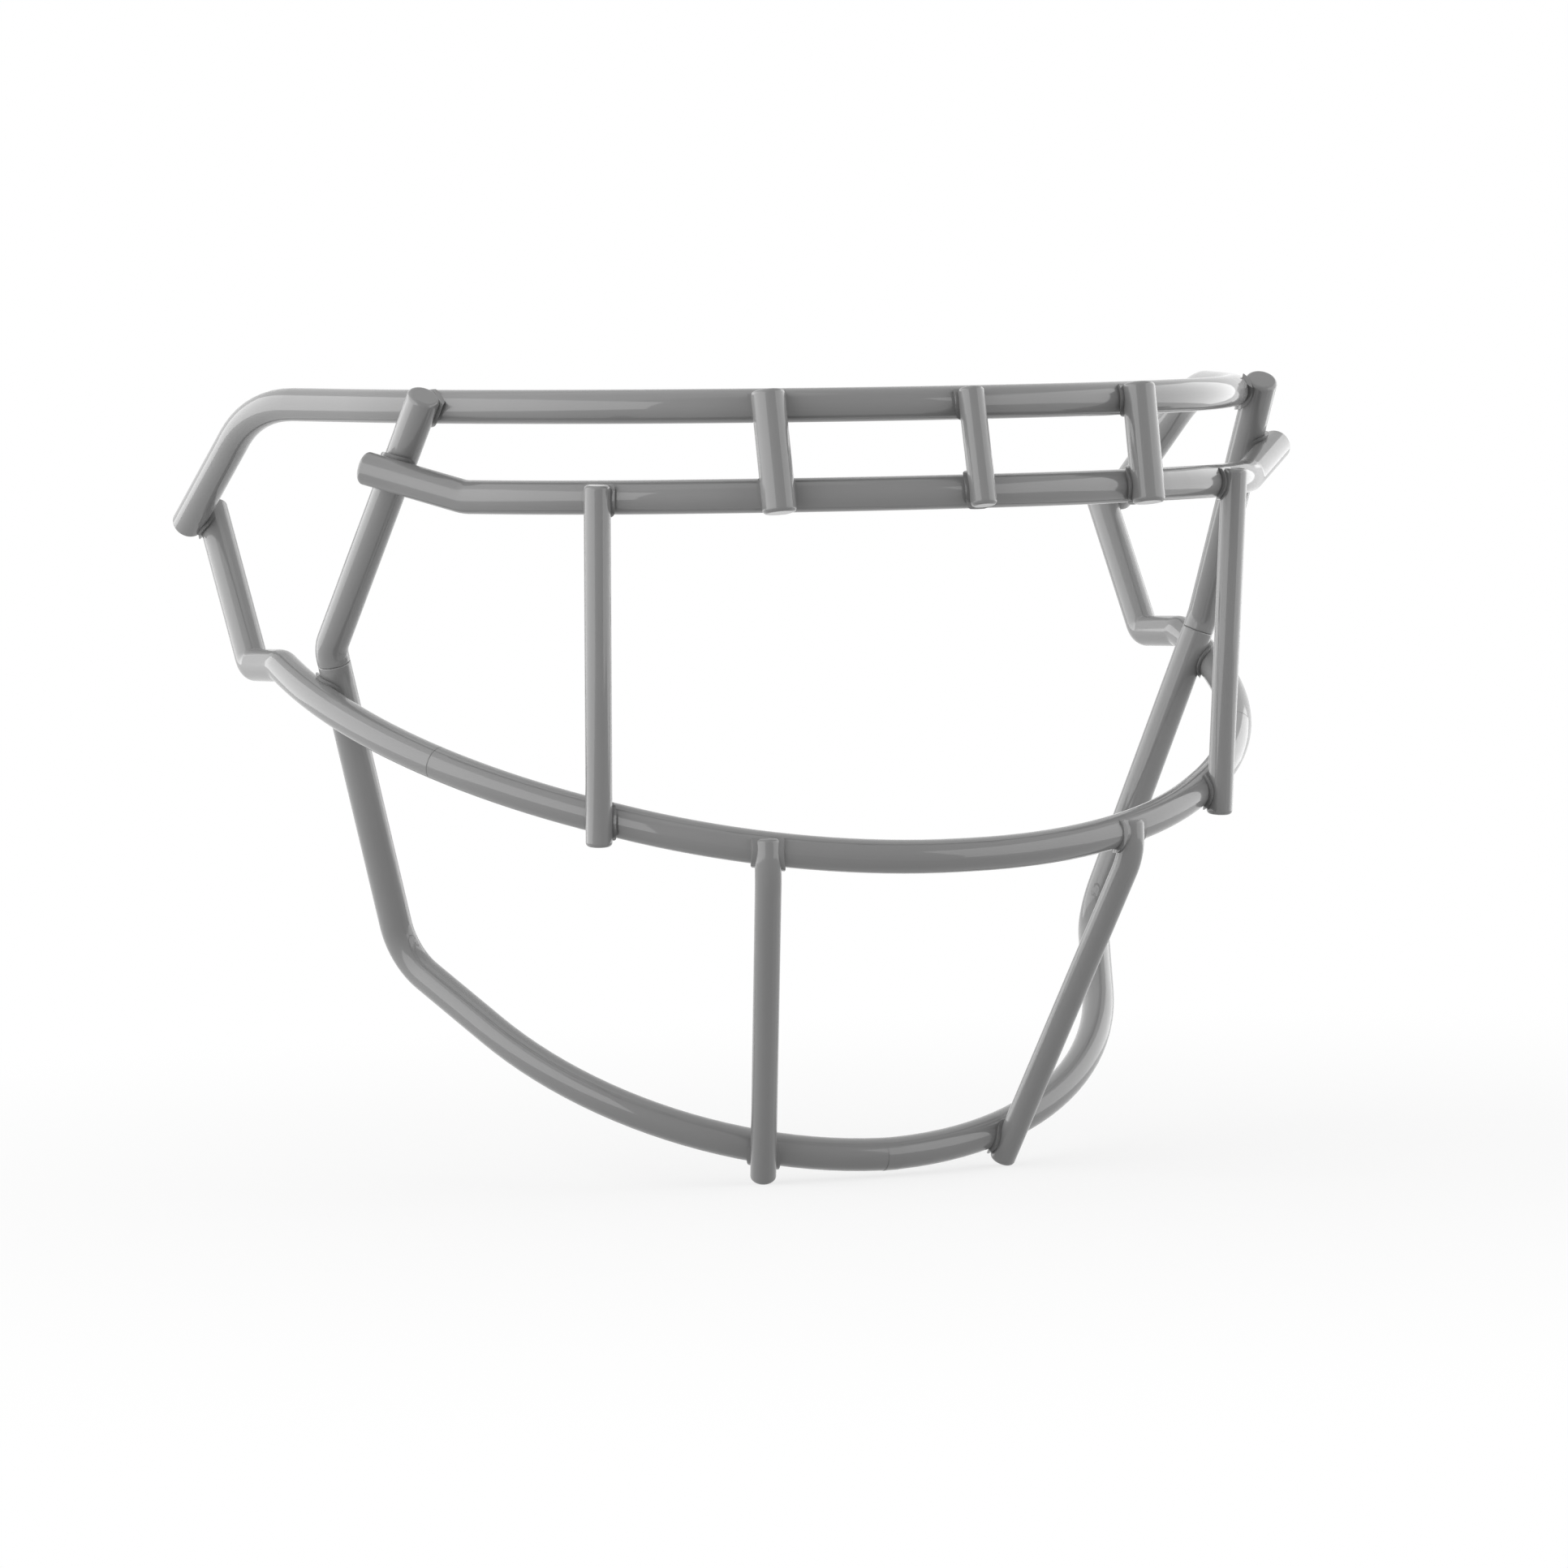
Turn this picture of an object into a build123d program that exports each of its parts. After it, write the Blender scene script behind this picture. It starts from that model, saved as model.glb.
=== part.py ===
# Face guard of a football helmet: a cage of bent round steel rods, welded where they cross.
# X runs from left to right as seen from the front, -Y is the front, +Z is up, in millimetres.
# The cage is symmetric about X = 0, so each side rod is drawn at -X and mirrored.
# Heights are measured from the front of the upper brow bar, and so are depths.

import os
from math import sqrt

from build123d import *

# Rod stock, with its coating
main_rod_diameter = 7.0
thin_rod_diameter = 5.5
end_rounding = 0.9
butt_rounding = 0.3

# Welds: how deep two crossing rods are pressed into each other, and the bead in the crevice
weld_sink = 1.5
bead_width = 0.8
bead_length = 16.0

# Upper brow bar: half widths, depths and rises of its bend corners, and its bend radii
upper_front_half = 24.0
upper_front_radius = 104.0
upper_turn_half = 67.7
upper_turn_depth = 19.4
upper_turn_rise = 0.9
upper_turn_radius = 96.0
upper_side_half = 96.8
upper_side_depth = 57.4
upper_side_rise = 2.6
upper_side_radius = 105.0
upper_rear_half = 113.6
upper_rear_depth = 108.2
upper_rear_rise = 5.0
upper_rear_radius = 40.0
upper_end_flare = 1.0
upper_end_depth = 149.8
upper_end_drop = 20.1

# Lower brow bar
lower_front_half = 27.0
lower_front_lead = 3.6
lower_front_drop = 18.2
lower_front_radius = 100.0
lower_turn_half = 74.3
lower_turn_depth = 23.2
lower_turn_drop = 17.3
lower_turn_radius = 104.0
lower_kink_half = 91.5
lower_kink_depth = 45.2
lower_kink_drop = 16.3
lower_kink_radius = 8.0
lower_end_reach = 22.6
lower_end_slide = 6.2

# Mouth bar and the side loops that carry it on
mouth_front_half = 38.5
mouth_front_depth = 4.8
mouth_front_drop = 92.7
mouth_front_radius = 98.0
mouth_turn_half = 106.9
mouth_turn_depth = 60.6
mouth_turn_drop = 70.1
mouth_turn_radius = 116.0
loop_reach = 52.2
loop_lift = 6.7
loop_bend_radius = 6.0
loop_corner_run = 17.7
loop_corner_radius = 3.9
loop_climb = 41.2
loop_slide = 1.3
butt_share = 0.58

# Temple legs and jaw bar
leg_across = 93.8
leg_overhang = 4.7
temple_bend_half = 104.5
temple_bend_depth = 91.0
temple_bend_drop = 47.0
temple_bend_radius = 7.0
mitre_below_bend = 3.4
jaw_bend_half = 83.5
jaw_bend_depth = 108.4
jaw_bend_drop = 114.1
jaw_bend_radius = 11.8
jaw_chin_half = 52.5
jaw_chin_depth = 44.2
jaw_chin_drop = 157.4
jaw_chin_radius = 80.0

# Short struts between the brow bars
strut_top_across = 40.3
strut_foot_across = 40.0
strut_top_overhang = 2.2
strut_foot_overhang = 4.4
centre_top_overhang = 2.0
centre_foot_overhang = 4.0

# Thin posts: where they cross the bars, and how far their ends stand past them
eye_top_across = 70.4
eye_foot_across = 69.0
eye_top_overhang = 3.0
eye_foot_overhang = 5.2
chin_top_across = 40.5
chin_foot_across = 27.2
chin_tip_length = 7.2
chin_bend_below = 3.0
chin_bend_radius = 15.0
chin_foot_overhang = 4.8

# Midpoint of a path, the coarse step of a search along one, and how often sizes are refined
midway_share = 0.5
search_share = 1 / 64
refinements = 40
settling_rounds = 6

main_radius = main_rod_diameter / 2
thin_radius = thin_rod_diameter / 2
main_gap = main_rod_diameter - weld_sink
thin_gap = main_radius + thin_radius - weld_sink
middle = Plane.YZ


def mirrored(point):
    """The same point on the other side of the centre plane."""
    return Vector(-point.X, point.Y, point.Z)


def both_sides(corners):
    """Corners listed from the left end to the centre, carried on to the right end."""
    return corners + [mirrored(corner) for corner in reversed(corners)]


def rod(path, radius):
    """A round rod along a path of straight runs and tangent bends."""
    section = Plane(origin=path @ 0, z_dir=path % 0) * Circle(radius)
    return sweep(section, path=path).solid()


def round_end(solid, point, rounding):
    """Rounds the rim of the flat end nearest to a point."""
    faces = solid.faces().filter_by(GeomType.PLANE)
    face = min(faces, key=lambda flat: (flat.center() - point).length)
    return fillet(face.edges(), radius=rounding).solid()


def round_both_ends(solid, path):
    return round_end(round_end(solid, path @ 0, end_rounding), path @ 1, end_rounding)


def less(solid, *cutters):
    """A solid with other solids taken away, keeping its largest piece."""
    for cutter in cutters:
        solid = max((solid - cutter).solids(), key=lambda piece: piece.volume)
    return solid


def spot(path, across):
    """Point and direction of a symmetric bar where it reaches a half width on its left side."""
    inner = midway_share
    while (path @ (inner - search_share)).X > -across:
        inner -= search_share
    outer = inner - search_share
    for _ in range(refinements):
        half = (outer + inner) / 2
        if (path @ half).X > -across:
            inner = half
        else:
            outer = half
    return path @ half, path % half


def forward_normal(along, run):
    """The common normal of two directions that points to the front."""
    normal = along.cross(run).normalized()
    return -normal if normal.Y > 0 else normal


def laid_on(first, second, gap):
    """Axis points of a straight post laid on the front of two bars, each given as (point, direction)."""
    high, low = first[0], second[0]
    for _ in range(settling_rounds):
        run = (low - high).normalized()
        high = first[0] + forward_normal(first[1], run) * gap
        low = second[0] + forward_normal(second[1], run) * gap
    return high, low


def past(start, line_start, line_end, gap, side):
    """Direction square to a line, that leads from a start past the line at a gap on one side of it."""
    axis = (line_end - line_start).normalized()
    offset = line_start - start
    flat = offset - axis * offset.dot(axis)
    toward = flat.normalized()
    across = axis.cross(toward)
    if across.dot(side) < 0:
        across = -across
    share = gap / flat.length
    return toward * sqrt(1 - share * share) + across * share, axis


def sleeve(start, end, radius):
    """A straight envelope that stands off a rod by the width of its weld beads."""
    return rod(Line(start, end), radius + bead_width)


def sleeve_at(seat, radius):
    """The same round a bar at a seat, given as (point, direction)."""
    reach = seat[1] * bead_length / 2
    return sleeve(seat[0] - reach, seat[0] + reach, radius)


def bead(first, second, first_sleeve, second_sleeve):
    """Weld bead in the crevice round a crossing: what is close to both rods and inside neither."""
    near_both = (first_sleeve & second_sleeve).solids()[0]
    return less(near_both, first, second)


def nearest(bar, line):
    """Point and direction of a bar where it comes nearest to a line, and their distance."""
    distance, point, _ = bar.distance_to_with_closest_points(line)
    return (point, bar % bar.param_at_point(point)), distance


def save(node, solid, lift):
    """Writes one named solid, set down so that the cage stands on the ground plane."""
    placed = lift * solid
    placed.label = node
    export_step(placed, f"parts/{node}.step")


def save_pair(node, solid, lift):
    """Writes a left solid and its mirror image on the right."""
    save(f"{node}_left", solid, lift)
    save(f"{node}_right", solid.mirror(middle), lift)


# Upper brow bar
upper_corners = [
    Vector(-upper_rear_half - upper_end_flare, upper_end_depth, -upper_end_drop),
    Vector(-upper_rear_half, upper_rear_depth, upper_rear_rise),
    Vector(-upper_side_half, upper_side_depth, upper_side_rise),
    Vector(-upper_turn_half, upper_turn_depth, upper_turn_rise),
    Vector(-upper_front_half, 0, 0),
]
upper_radii = [upper_rear_radius, upper_side_radius, upper_turn_radius, upper_front_radius]
upper_path = FilletPolyline(*both_sides(upper_corners), radius=upper_radii + upper_radii[::-1])

# Temple leg: laid on the outside of the upper brow bar, bent just above the mitre
temple_bend = Vector(-temple_bend_half, temple_bend_depth, -temple_bend_drop)
jaw_bend = Vector(-jaw_bend_half, jaw_bend_depth, -jaw_bend_drop)
jaw_direction = (jaw_bend - temple_bend).normalized()
mitre = temple_bend + jaw_direction * mitre_below_bend
leg_seat = spot(upper_path, leg_across)
leg_high = leg_seat[0]
for _ in range(settling_rounds):
    leg_direction = (temple_bend - leg_high).normalized()
    leg_high = leg_seat[0] + forward_normal(leg_seat[1], leg_direction) * main_gap
leg_top = leg_high - leg_direction * leg_overhang
leg_path = FilletPolyline(leg_top, temple_bend, mitre, radius=[temple_bend_radius])

# Lower brow bar: its ends kick up from the kink and pass outside the temple legs
lower_kink = Vector(-lower_kink_half, lower_kink_depth, -lower_kink_drop)
lower_way, leg_axis = past(lower_kink, leg_top, temple_bend, main_gap, Vector(-1, -1, 0))
lower_end = lower_kink + lower_way * lower_end_reach + leg_axis * lower_end_slide
lower_corners = [
    lower_end,
    lower_kink,
    Vector(-lower_turn_half, lower_turn_depth, -lower_turn_drop),
    Vector(-lower_front_half, -lower_front_lead, -lower_front_drop),
]
lower_radii = [lower_kink_radius, lower_turn_radius, lower_front_radius]
lower_path = FilletPolyline(*both_sides(lower_corners), radius=lower_radii + lower_radii[::-1])

# Mouth bar and side loops share one run of corners: the loops pass outside the jaw bar,
# turn at a tight corner and climb to the inner side of the upper brow bar's rear legs
mouth_turn = Vector(-mouth_turn_half, mouth_turn_depth, -mouth_turn_drop)
mouth_radii = [loop_corner_radius, loop_bend_radius, mouth_turn_radius, mouth_front_radius]


def loop_corners(gap):
    """Corners of the left loop, from its top to its lower bend, passing the jaw bar at a gap."""
    loop_way, jaw_axis = past(mouth_turn, mitre, jaw_bend, gap, Vector(-1, 0, 0))
    bend = mouth_turn + loop_way * loop_reach - jaw_axis * loop_lift
    corner = bend + Vector(0, loop_corner_run, 0)
    climb_way, rear_axis = past(corner, upper_corners[1], upper_corners[0], main_gap, Vector(1, 0, 0))
    return [corner + climb_way * loop_climb + rear_axis * loop_slide, corner, bend]


def mouth_path_past(gap):
    """The whole run of mouth bar and loops."""
    front = Vector(-mouth_front_half, mouth_front_depth, -mouth_front_drop)
    corners = both_sides(loop_corners(gap) + [mouth_turn, front])
    return FilletPolyline(*corners, radius=mouth_radii + mouth_radii[::-1])


# The wide bend takes the loop nearer to the jaw bar than its corners, so the gap is widened
jaw_line = Line(mitre, jaw_bend)
loop_gap = main_gap
for _ in range(settling_rounds):
    mouth_run = mouth_path_past(loop_gap)
    loop_seat, loop_distance = nearest(mouth_run, jaw_line)
    loop_gap += main_gap - loop_distance
loop_top, loop_corner, loop_bend = loop_corners(loop_gap)

# The butt joint between each loop and the mouth bar lies a share of the way along the wide bend
wide_bends = mouth_run.edges().filter_by(GeomType.CIRCLE)
wide_bend = min(wide_bends, key=lambda bend: (bend @ midway_share - mouth_turn).length)
seam = wide_bend @ butt_share
seam_share = mouth_run.param_at_point(seam)
loop_path = mouth_run.trim(0, seam_share)
mouth_path = mouth_run.trim(seam_share, 1 - seam_share)

# Jaw bar: down from the temple legs and round under the chin
jaw_corners = [mitre, jaw_bend, Vector(-jaw_chin_half, jaw_chin_depth, -jaw_chin_drop)]
jaw_radii = [jaw_bend_radius, jaw_chin_radius]
jaw_path = FilletPolyline(*both_sides(jaw_corners), radius=jaw_radii + jaw_radii[::-1])


def post(seats, gap, radius, above, below):
    """A straight post laid on two bars: its solid and its axis."""
    high, low = laid_on(*seats, gap)
    run = (low - high).normalized()
    path = Line(high - run * above, low + run * below)
    return round_both_ends(rod(path, radius), path), path


# Struts and eye posts, laid on the front of the bars
strut_seats = [spot(upper_path, strut_top_across), spot(lower_path, strut_foot_across)]
strut, strut_path = post(
    strut_seats, main_gap, main_radius, strut_top_overhang, strut_foot_overhang
)
centre_seats = [(path @ midway_share, path % midway_share) for path in (upper_path, lower_path)]
centre_strut, centre_path = post(
    centre_seats, thin_gap, thin_radius, centre_top_overhang, centre_foot_overhang
)
eye_seats = [spot(lower_path, eye_top_across), spot(mouth_run, eye_foot_across)]
eye_post, eye_path = post(
    eye_seats, thin_gap, thin_radius, eye_top_overhang, eye_foot_overhang
)

# Chin post: slanted between mouth bar and jaw bar, with an upright tip above a small bend
chin_seats = [spot(mouth_run, chin_top_across), spot(jaw_path, chin_foot_across)]
chin_high, chin_low = laid_on(*chin_seats, thin_gap)
chin_run = (chin_low - chin_high).normalized()
chin_bend = chin_high + chin_run * chin_bend_below
chin_path = FilletPolyline(
    chin_bend + Vector(0, 0, chin_tip_length),
    chin_bend,
    chin_low + chin_run * chin_foot_overhang,
    radius=[chin_bend_radius],
)
chin_post = round_both_ends(rod(chin_path, thin_radius), chin_path)

# Bars, loops and legs
upper_bar = round_both_ends(rod(upper_path, main_radius), upper_path)
lower_bar = round_both_ends(rod(lower_path, main_radius), lower_path)
mouth_bar = rod(mouth_path, main_radius)
side_loop = rod(loop_path, main_radius)
side_loop = round_end(round_end(side_loop, loop_top, end_rounding), seam, butt_rounding)
jaw_bar = rod(jaw_path, main_radius)
jaw_bar = round_end(jaw_bar, mitre, butt_rounding)
jaw_bar = round_end(jaw_bar, mirrored(mitre), butt_rounding)
temple_leg = rod(leg_path, main_radius)
temple_leg = round_end(temple_leg, leg_top, end_rounding)
temple_leg = round_end(temple_leg, mitre, butt_rounding)

# Weld beads at the left-hand crossings and the two central ones, named after the pieces they join
leg_sleeve = sleeve(leg_top, temple_bend, main_radius)
strut_sleeve = sleeve(strut_path @ 0, strut_path @ 1, main_radius)
centre_sleeve = sleeve(centre_path @ 0, centre_path @ 1, thin_radius)
eye_sleeve = sleeve(eye_path @ 0, eye_path @ 1, thin_radius)
chin_sleeve = rod(chin_path, thin_radius + bead_width)
kick_sleeve = sleeve(lower_kink, lower_end, main_radius)
loop_sleeve = sleeve_at(loop_seat, main_radius)
climb_sleeve = sleeve(loop_corner, loop_top, main_radius)
rear_sleeve = sleeve(upper_corners[1], upper_corners[0], main_radius)
jaw_sleeve = sleeve(mitre, jaw_bend, main_radius)
side_beads = {
    "weld_upper_bar_leg": (upper_bar, temple_leg, sleeve_at(leg_seat, main_radius), leg_sleeve),
    "weld_upper_bar_strut": (upper_bar, strut, sleeve_at(strut_seats[0], main_radius), strut_sleeve),
    "weld_upper_bar_loop": (upper_bar, side_loop, rear_sleeve, climb_sleeve),
    "weld_lower_bar_leg": (lower_bar, temple_leg, kick_sleeve, leg_sleeve),
    "weld_lower_bar_strut": (lower_bar, strut, sleeve_at(strut_seats[1], main_radius), strut_sleeve),
    "weld_lower_bar_eye_post": (lower_bar, eye_post, sleeve_at(eye_seats[0], main_radius), eye_sleeve),
    "weld_mouth_bar_eye_post": (mouth_bar, eye_post, sleeve_at(eye_seats[1], main_radius), eye_sleeve),
    "weld_mouth_bar_chin_post": (mouth_bar, chin_post, sleeve_at(chin_seats[0], main_radius), chin_sleeve),
    "weld_jaw_bar_loop": (jaw_bar, side_loop, jaw_sleeve, loop_sleeve),
    "weld_jaw_bar_chin_post": (jaw_bar, chin_post, sleeve_at(chin_seats[1], main_radius), chin_sleeve),
}
centre_beads = {
    "weld_upper_bar_centre_strut": (upper_bar, centre_strut, sleeve_at(centre_seats[0], main_radius), centre_sleeve),
    "weld_lower_bar_centre_strut": (lower_bar, centre_strut, sleeve_at(centre_seats[1], main_radius), centre_sleeve),
}
side_beads = {name: bead(*pieces) for name, pieces in side_beads.items()}
centre_beads = {name: bead(*pieces) for name, pieces in centre_beads.items()}

# Saddles: the piece that lies on another gives way to it
strut = less(strut, upper_bar, lower_bar)
centre_strut = less(centre_strut, upper_bar, lower_bar)
eye_post = less(eye_post, lower_bar, mouth_bar)
chin_post = less(chin_post, mouth_bar, jaw_bar)
temple_leg = less(temple_leg, upper_bar, lower_bar)
side_loop = less(side_loop, upper_bar)
jaw_bar = less(jaw_bar, side_loop, side_loop.mirror(middle))

# The cage stands with its lowest point on Z = 0, centred in depth
box = Compound([upper_bar, lower_bar, mouth_bar, jaw_bar, chin_post, centre_strut, temple_leg]).bounding_box()
lift = Location(Vector(0, -(box.min.Y + box.max.Y) / 2, -box.min.Z))

os.makedirs("parts", exist_ok=True)
save("upper_brow_bar", upper_bar, lift)
save("lower_brow_bar", lower_bar, lift)
save("mouth_bar", mouth_bar, lift)
save("jaw_bar", jaw_bar, lift)
save("brow_strut_centre", centre_strut, lift)
save_pair("side_loop", side_loop, lift)
save_pair("temple_leg", temple_leg, lift)
save_pair("brow_strut", strut, lift)
save_pair("eye_post", eye_post, lift)
save_pair("chin_post", chin_post, lift)
for name, solid in centre_beads.items():
    save(name, solid, lift)
for name, solid in side_beads.items():
    save_pair(name, solid, lift)
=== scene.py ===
"""Looks of a football helmet's face guard: the coating on its rods and welds, and the studio."""

from math import cos, pi, radians, sin
from typing import NamedTuple

import bpy
from bpy.props import FloatProperty, FloatVectorProperty, PointerProperty
from mathutils import Matrix, Vector


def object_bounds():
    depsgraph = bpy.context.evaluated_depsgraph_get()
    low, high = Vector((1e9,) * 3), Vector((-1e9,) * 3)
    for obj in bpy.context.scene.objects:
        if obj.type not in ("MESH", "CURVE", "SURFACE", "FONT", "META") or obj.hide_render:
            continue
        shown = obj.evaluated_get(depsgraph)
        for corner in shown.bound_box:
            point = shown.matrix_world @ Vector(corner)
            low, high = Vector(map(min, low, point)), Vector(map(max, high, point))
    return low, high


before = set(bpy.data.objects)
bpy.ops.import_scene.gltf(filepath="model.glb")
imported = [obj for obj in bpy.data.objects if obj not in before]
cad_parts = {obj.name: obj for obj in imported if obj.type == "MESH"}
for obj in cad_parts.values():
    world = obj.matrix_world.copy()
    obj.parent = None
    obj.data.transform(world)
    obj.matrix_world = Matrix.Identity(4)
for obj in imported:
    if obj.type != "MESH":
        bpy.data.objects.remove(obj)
cad_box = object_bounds()

bl_info = {
    "name": "Face guard looks",
    "version": (1, 0, 0),
    "blender": (4, 5, 0),
    "location": "View3D > Sidebar > Face guard",
    "description": "Coats the welded rods of a helmet's face guard and sets up a pale studio",
    "category": "Material",
}

MILLIMETRE = 0.001

# Sockets of a Mix node, which has a set of its own for numbers and one for colours
FACTOR = 0
NUMBER_A = 2
NUMBER_B = 3
NUMBER_RESULT = 0
COLOUR_A = 6
COLOUR_B = 7
COLOUR_RESULT = 2

# The coating is a smooth clear skin over duller coloured powder, both of one plastic
PLASTIC_IOR = 1.5
SKIN_ROUGHNESS = 0.05
POWDER_SHINE = 0.2
POWDER_ROUGHNESS_LOW = 0.42
POWDER_ROUGHNESS_HIGH = 0.50

# Clouds in the powder: how fine and how broken up they are, how much darker and lighter they make
# it, and the levels of their noise between which its roughness goes from low to high
CLOUD_DETAIL = 4.0
CLOUD_BREAKUP = 0.55
CLOUD_TINT = 0.07
CLOUD_LOW = 0.3
CLOUD_HIGH = 0.7

# The camera's sensor in millimetres, and the nearest and farthest that it sees in metres
SENSOR_WIDTH = 36.0
NEAR_LIMIT = 0.01
FAR_LIMIT = 100.0


class Lamp(NamedTuple):
    """A lit rectangle that faces the guard, with its angles in degrees and its sizes in metres.

    The bearing starts at the camera and goes round the guard to the right.
    """

    name: str
    bearing: float
    elevation: float
    distance: float
    width: float
    height: float
    brightness: float


LAMPS = (
    Lamp("left_wall", bearing=-76, elevation=8, distance=0.9, width=2.6, height=1.4, brightness=1.8),
    Lamp("right_wall", bearing=98, elevation=8, distance=0.9, width=2.2, height=1.3, brightness=1.35),
    Lamp("overhead", bearing=-60, elevation=70, distance=1.3, width=1.3, height=1.3, brightness=0.4),
)


def linear(hex_colour):
    """Linear red, green and blue of an sRGB hex colour, by the curve of the sRGB standard."""
    shares = [part / 255 for part in bytes.fromhex(hex_colour)]
    return tuple(s / 12.92 if s <= 0.04045 else ((s + 0.055) / 1.055) ** 2.4 for s in shares)


def opaque(colour, level=1.0):
    """A colour at a level, with full alpha, as a node socket takes it."""
    return (*(part * level for part in colour), 1.0)


def add(tree, kind, values=None, links=None, **settings):
    """Adds a node with its settings, socket values and input links."""
    node = tree.nodes.new(kind)
    for name, value in settings.items():
        setattr(node, name, value)
    for socket, value in (values or {}).items():
        node.inputs[socket].default_value = value
    for socket, source in (links or {}).items():
        tree.links.new(source, node.inputs[socket])
    return node


class GuardCoatSettings(bpy.types.PropertyGroup):
    """Colour and grain of the coating"""

    rod_colour: FloatVectorProperty(
        name="Rod colour", description="Colour of the coating on the rods",
        subtype="COLOR", size=3, min=0, max=1, default=linear("848484"),
    )
    weld_colour: FloatVectorProperty(
        name="Weld colour", description="Colour of the coating where it pools in the weld crevices",
        subtype="COLOR", size=3, min=0, max=1, default=linear("808080"),
    )
    peel_size: FloatProperty(
        name="Orange peel", description="Spacing of the dimples that the fused powder leaves",
        unit="LENGTH", default=1.6 * MILLIMETRE, min=0.1 * MILLIMETRE, precision=5,
    )
    peel_depth: FloatProperty(
        name="Peel depth", description="Depth of those dimples",
        unit="LENGTH", default=0.003 * MILLIMETRE, min=0, precision=6,
    )
    cloud_size: FloatProperty(
        name="Cloud size", description="Spacing of the faint light and dark patches in the coating",
        unit="LENGTH", default=22 * MILLIMETRE, min=MILLIMETRE,
    )


class GuardStudioSettings(bpy.types.PropertyGroup):
    """Camera, floor and background"""

    camera_place: FloatVectorProperty(
        name="Camera", description="Where the camera stands", subtype="TRANSLATION", size=3,
        unit="LENGTH", default=(-0.57821, -1.22741, 0.13900), precision=5,
    )
    camera_yaw: FloatProperty(
        name="Yaw", description="Turn of the view away from straight ahead, negative to the right",
        subtype="ANGLE", default=-0.4335, precision=4,
    )
    camera_pitch: FloatProperty(
        name="Pitch", description="Tilt of the view, negative looking down",
        subtype="ANGLE", default=-0.0416, precision=4,
    )
    camera_roll: FloatProperty(
        name="Roll", description="Turn of the camera about its view",
        subtype="ANGLE", default=0.0295, precision=4,
    )
    focal_length: FloatProperty(
        name="Focal length", description="Focal length on a 36 mm sensor, in millimetres",
        default=145.26, min=1,
    )
    floor_size: FloatProperty(
        name="Floor", description="Side of the square white table", unit="LENGTH",
        default=0.9, min=0.5,
    )
    backdrop_colour: FloatVectorProperty(
        name="Backdrop", description="Colour of floor and background",
        subtype="COLOR", size=3, min=0, max=1, default=linear("ffffff"),
    )
    fade_reach: FloatProperty(
        name="Fade reach", description="Distance at which the floor has faded into the background",
        unit="LENGTH", default=0.44, min=0.1,
    )
    floor_glow: FloatProperty(
        name="Floor glow", description="Share of plain white in the floor under the guard",
        default=0.72, min=0, max=1,
    )
    floor_bounce: FloatProperty(
        name="Floor bounce", description="Share of light that the floor throws back on the guard",
        default=0.45, min=0, max=1,
    )
    fill_level: FloatProperty(
        name="Fill", description="Level of the even light from all round", default=0.27, min=0,
    )


def coating(name, colour, settings):
    """Polyethylene powder, fused on hot steel rod into one thick and glossy skin.

    The eye sees one plain grey and, on it, crisp reflections of the lamps. The powder flowed
    into a faint orange peel, and the grey is slightly cloudy.
    """
    material = bpy.data.materials.new(name)
    material.use_nodes = True
    tree = material.node_tree
    tree.nodes.clear()
    place = add(tree, "ShaderNodeTexCoord").outputs["Object"]
    peel = add(
        tree, "ShaderNodeTexNoise", links={"Vector": place},
        values={"Scale": 1 / settings.peel_size},
    )
    bump = add(
        tree, "ShaderNodeBump", links={"Height": peel.outputs["Fac"]},
        values={"Distance": settings.peel_depth},
    )
    cloud = add(
        tree, "ShaderNodeTexNoise", links={"Vector": place},
        values={
            "Scale": 1 / settings.cloud_size,
            "Detail": CLOUD_DETAIL,
            "Roughness": CLOUD_BREAKUP,
        },
    )
    tint = add(
        tree, "ShaderNodeMix", data_type="RGBA", links={FACTOR: cloud.outputs["Fac"]},
        values={
            COLOUR_A: opaque(colour, 1 - CLOUD_TINT),
            COLOUR_B: opaque(colour, 1 + CLOUD_TINT),
        },
    )
    roughness = add(
        tree, "ShaderNodeMapRange", links={"Value": cloud.outputs["Fac"]},
        values={
            "From Min": CLOUD_LOW,
            "From Max": CLOUD_HIGH,
            "To Min": POWDER_ROUGHNESS_LOW,
            "To Max": POWDER_ROUGHNESS_HIGH,
        },
    )
    skin = add(
        tree, "ShaderNodeBsdfPrincipled",
        values={
            "Metallic": 0.0,
            "IOR": PLASTIC_IOR,
            "Specular IOR Level": POWDER_SHINE,
            "Coat Weight": 1.0,
            "Coat Roughness": SKIN_ROUGHNESS,
            "Coat IOR": PLASTIC_IOR,
        },
        links={
            "Base Color": tint.outputs[COLOUR_RESULT],
            "Roughness": roughness.outputs["Result"],
            "Normal": bump.outputs["Normal"],
            "Coat Normal": bump.outputs["Normal"],
        },
    )
    add(tree, "ShaderNodeOutputMaterial", links={"Surface": skin.outputs["BSDF"]})
    return material


def dress(names, material):
    """Puts a material on CAD nodes."""
    for name in names:
        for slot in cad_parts[name].material_slots:
            slot.material = material


class FACE_GUARD_OT_coat_rods(bpy.types.Operator):
    """Coat the bars, loops, legs, struts and posts"""

    bl_idname = "face_guard.coat_rods"
    bl_label = "Coat the rods"

    def execute(self, context):
        settings = context.scene.guard_coat
        rods = [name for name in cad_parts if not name.startswith("weld_")]
        dress(rods, coating("fused_powder_coat", settings.rod_colour, settings))
        return {"FINISHED"}


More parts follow.
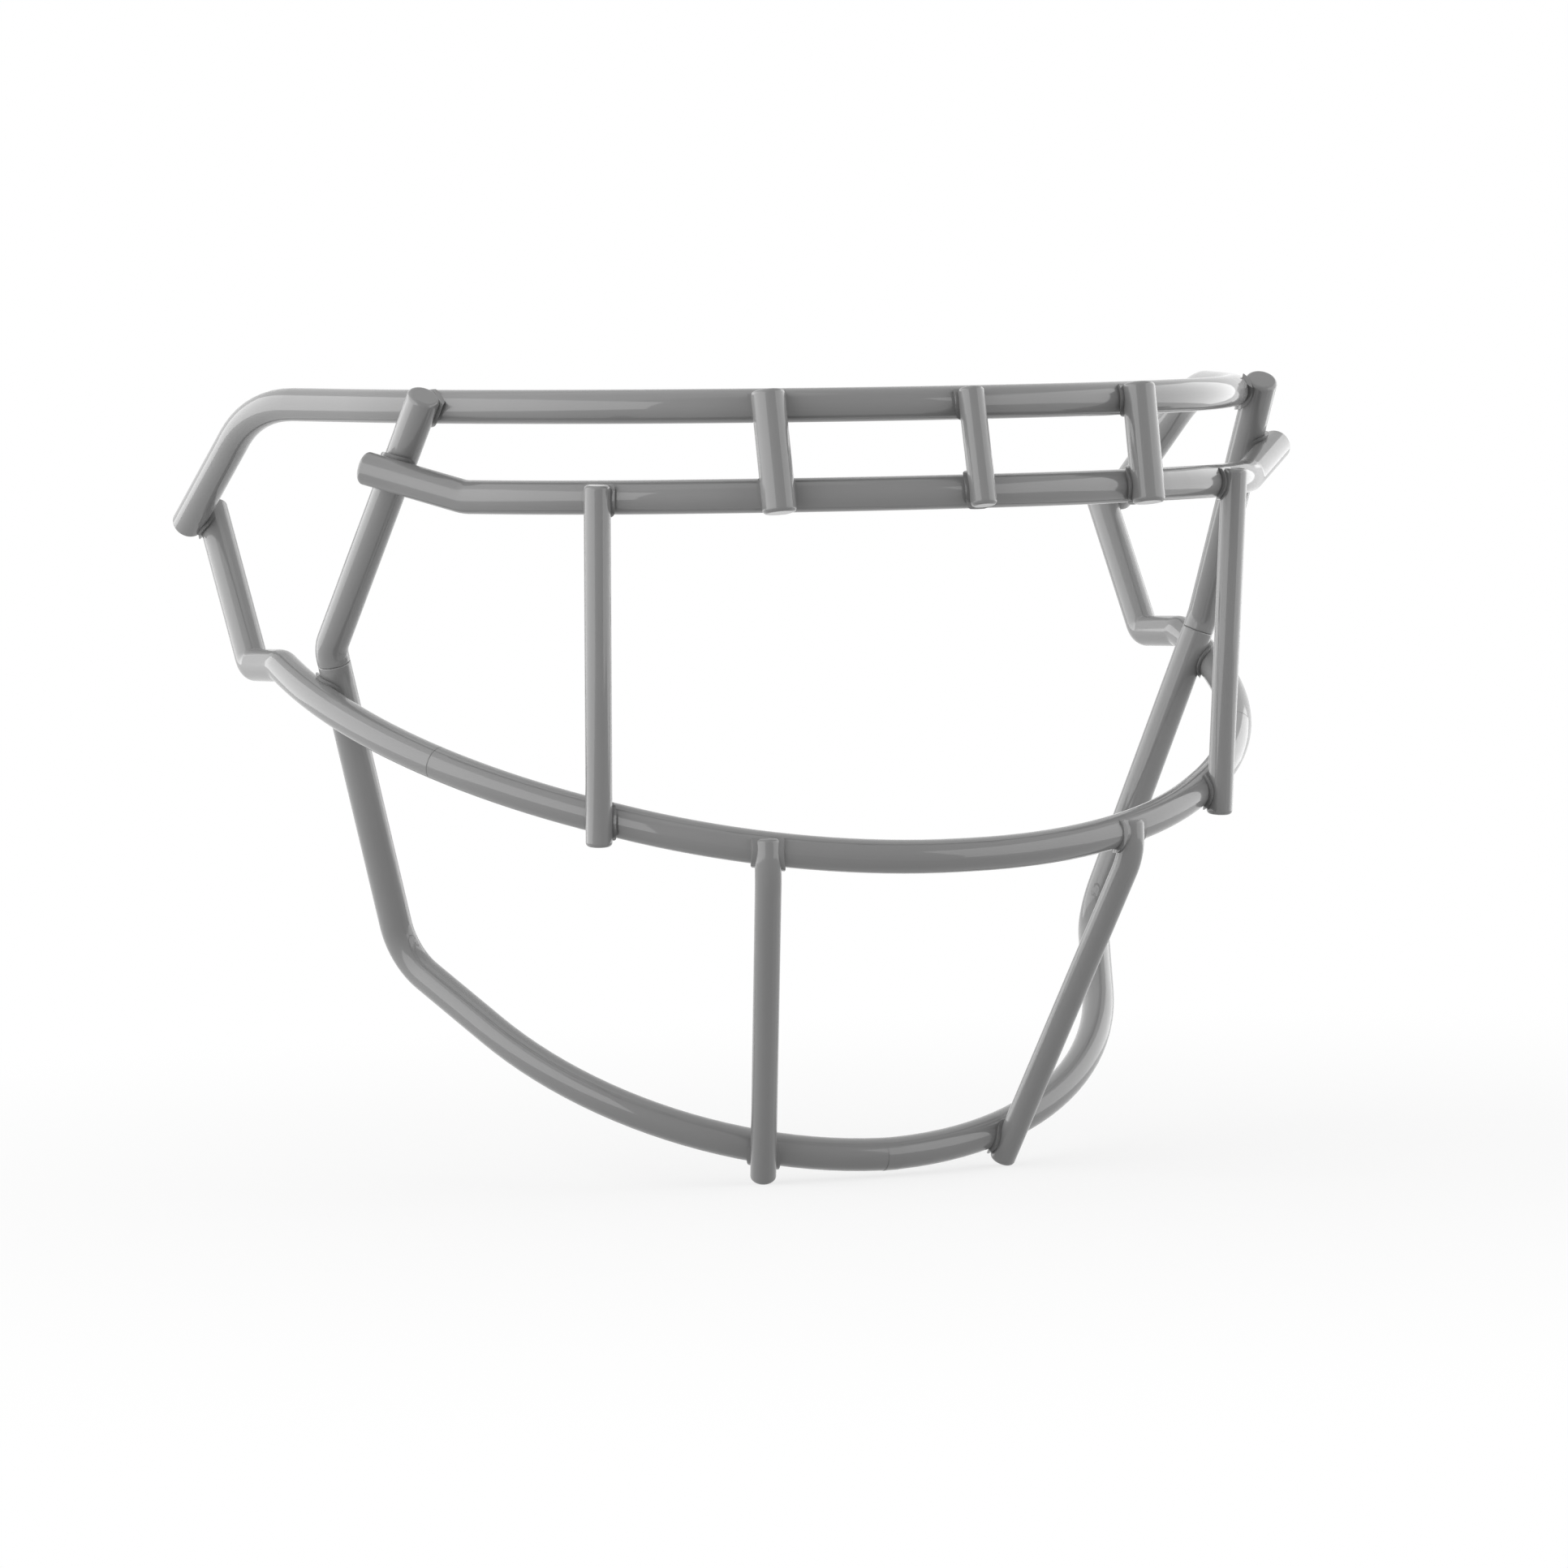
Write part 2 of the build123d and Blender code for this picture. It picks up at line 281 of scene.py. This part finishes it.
class FACE_GUARD_OT_coat_welds(bpy.types.Operator):
    """Coat the weld beads in the crevices"""

    bl_idname = "face_guard.coat_welds"
    bl_label = "Coat the welds"

    def execute(self, context):
        settings = context.scene.guard_coat
        welds = [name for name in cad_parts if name.startswith("weld_")]
        dress(welds, coating("pooled_powder_coat", settings.weld_colour, settings))
        return {"FINISHED"}


def seen(tree):
    """One for rays from the camera, a mirror or a lens, and zero for the others."""
    path = add(tree, "ShaderNodeLightPath").outputs
    first = add(
        tree, "ShaderNodeMath", operation="MAXIMUM",
        links={0: path["Is Camera Ray"], 1: path["Is Glossy Ray"]},
    )
    both = add(
        tree, "ShaderNodeMath", operation="MAXIMUM",
        links={0: first.outputs[0], 1: path["Is Transmission Ray"]},
    )
    return both.outputs[0]


class FACE_GUARD_OT_build_stage(bpy.types.Operator):
    """Build the floor, the lamps, the pale surroundings and the camera"""

    bl_idname = "face_guard.build_stage"
    bl_label = "Build the stage"

    def execute(self, context):
        settings = context.scene.guard_studio
        self.build_floor(settings)
        self.build_surroundings(context.scene, settings)
        self.build_camera(context.scene, settings)
        self.build_lamps(context.scene, settings)
        context.scene.view_settings.view_transform = "Standard"
        return {"FINISHED"}

    def build_floor(self, settings):
        """A small table of matt white paper, which glows more toward its edge and so fades out."""
        bpy.ops.mesh.primitive_plane_add(size=settings.floor_size)
        floor = bpy.context.object
        floor.name = "studio_floor"
        paper = bpy.data.materials.new("matt_paper")
        paper.use_nodes = True
        tree = paper.node_tree
        tree.nodes.clear()
        tone = add(
            tree, "ShaderNodeMix", data_type="RGBA", links={FACTOR: seen(tree)},
            values={
                COLOUR_A: opaque(settings.backdrop_colour, settings.floor_bounce),
                COLOUR_B: opaque(settings.backdrop_colour),
            },
        )
        colour = tone.outputs[COLOUR_RESULT]
        matt = add(tree, "ShaderNodeBsdfDiffuse", links={"Color": colour})
        bright = add(
            tree, "ShaderNodeEmission", values={"Strength": 1.0}, links={"Color": colour},
        )
        place = add(tree, "ShaderNodeTexCoord").outputs["Object"]
        reach = add(tree, "ShaderNodeVectorMath", operation="LENGTH", links={0: place})
        faded = add(
            tree, "ShaderNodeMapRange", interpolation_type="SMOOTHSTEP",
            links={"Value": reach.outputs["Value"]},
            values={
                "From Min": 0.0,
                "From Max": settings.fade_reach,
                "To Min": settings.floor_glow,
                "To Max": 1.0,
            },
        )
        look = add(
            tree, "ShaderNodeMixShader",
            links={
                0: faded.outputs["Result"],
                1: matt.outputs["BSDF"],
                2: bright.outputs["Emission"],
            },
        )
        add(tree, "ShaderNodeOutputMaterial", links={"Surface": look.outputs["Shader"]})
        floor.data.materials.append(paper)

    def build_surroundings(self, scene, settings):
        """White to the camera, a mirror or a lens, and an even fill light to all else."""
        world = bpy.data.worlds.new("pale_surroundings")
        world.use_nodes = True
        scene.world = world
        tree = world.node_tree
        tree.nodes.clear()
        level = add(
            tree, "ShaderNodeMix", data_type="FLOAT", links={FACTOR: seen(tree)},
            values={NUMBER_A: settings.fill_level, NUMBER_B: 1.0},
        )
        glow = add(
            tree, "ShaderNodeBackground", values={"Color": opaque(settings.backdrop_colour)},
            links={"Strength": level.outputs[NUMBER_RESULT]},
        )
        add(tree, "ShaderNodeOutputWorld", links={"Surface": glow.outputs["Background"]})

    def build_camera(self, scene, settings):
        """A long lens, placed and turned as the settings say."""
        data = bpy.data.cameras.new("studio_camera")
        data.sensor_fit = "HORIZONTAL"
        data.sensor_width = SENSOR_WIDTH
        data.lens = settings.focal_length
        data.clip_start = NEAR_LIMIT
        data.clip_end = FAR_LIMIT
        camera = bpy.data.objects.new("studio_camera", data)
        scene.collection.objects.link(camera)
        yaw = settings.camera_yaw
        pitch = settings.camera_pitch
        forward = Vector((-sin(yaw), cos(yaw), 0)) * cos(pitch) + Vector((0, 0, sin(pitch)))
        upright = forward.to_track_quat("-Z", "Y").to_matrix().to_4x4()
        roll = Matrix.Rotation(-settings.camera_roll, 4, "Z")
        camera.matrix_world = Matrix.Translation(settings.camera_place) @ upright @ roll
        scene.camera = camera

    def build_lamps(self, scene, settings):
        """Sets each lamp where its bearing, elevation and distance say, facing the guard's middle."""
        low, high = (Vector(corner) for corner in cad_box)
        middle = (low + high) / 2
        yaw = settings.camera_yaw
        toward = Vector((sin(yaw), -cos(yaw), 0))
        right = Vector((cos(yaw), sin(yaw), 0))
        for lamp in LAMPS:
            bearing = radians(lamp.bearing)
            elevation = radians(lamp.elevation)
            across = toward * cos(bearing) + right * sin(bearing)
            way = across * cos(elevation) + Vector((0, 0, sin(elevation)))
            data = bpy.data.lights.new(lamp.name, "AREA")
            data.shape = "RECTANGLE"
            data.size = lamp.width
            data.size_y = lamp.height
            # The power goes with the lit area, so that a lamp's brightness is that of its face
            data.energy = lamp.brightness * pi * lamp.width * lamp.height
            box = bpy.data.objects.new(lamp.name, data)
            box.location = middle + way * lamp.distance
            box.rotation_euler = way.to_track_quat("Z", "Y").to_euler()
            scene.collection.objects.link(box)


class FACE_GUARD_PT_looks(bpy.types.Panel):
    """Sizes, colours and steps of the face guard's looks"""

    bl_idname = "FACE_GUARD_PT_looks"
    bl_label = "Face guard"
    bl_space_type = "VIEW_3D"
    bl_region_type = "UI"
    bl_category = "Face guard"

    def draw(self, context):
        for group in (context.scene.guard_coat, context.scene.guard_studio):
            box = self.layout.box()
            for name in group.__annotations__:
                box.prop(group, name)
        for operator in OPERATORS:
            self.layout.operator(operator.bl_idname)


OPERATORS = (FACE_GUARD_OT_coat_rods, FACE_GUARD_OT_coat_welds, FACE_GUARD_OT_build_stage)
CLASSES = (GuardCoatSettings, GuardStudioSettings, *OPERATORS, FACE_GUARD_PT_looks)


def register():
    for kind in CLASSES:
        bpy.utils.register_class(kind)
    bpy.types.Scene.guard_coat = PointerProperty(type=GuardCoatSettings)
    bpy.types.Scene.guard_studio = PointerProperty(type=GuardStudioSettings)


def unregister():
    del bpy.types.Scene.guard_studio
    del bpy.types.Scene.guard_coat
    for kind in reversed(CLASSES):
        bpy.utils.unregister_class(kind)


def main():
    """Runs every step in order."""
    register()
    bpy.ops.face_guard.coat_rods()
    bpy.ops.face_guard.coat_welds()
    bpy.ops.face_guard.build_stage()


if __name__ == "__main__":
    main()
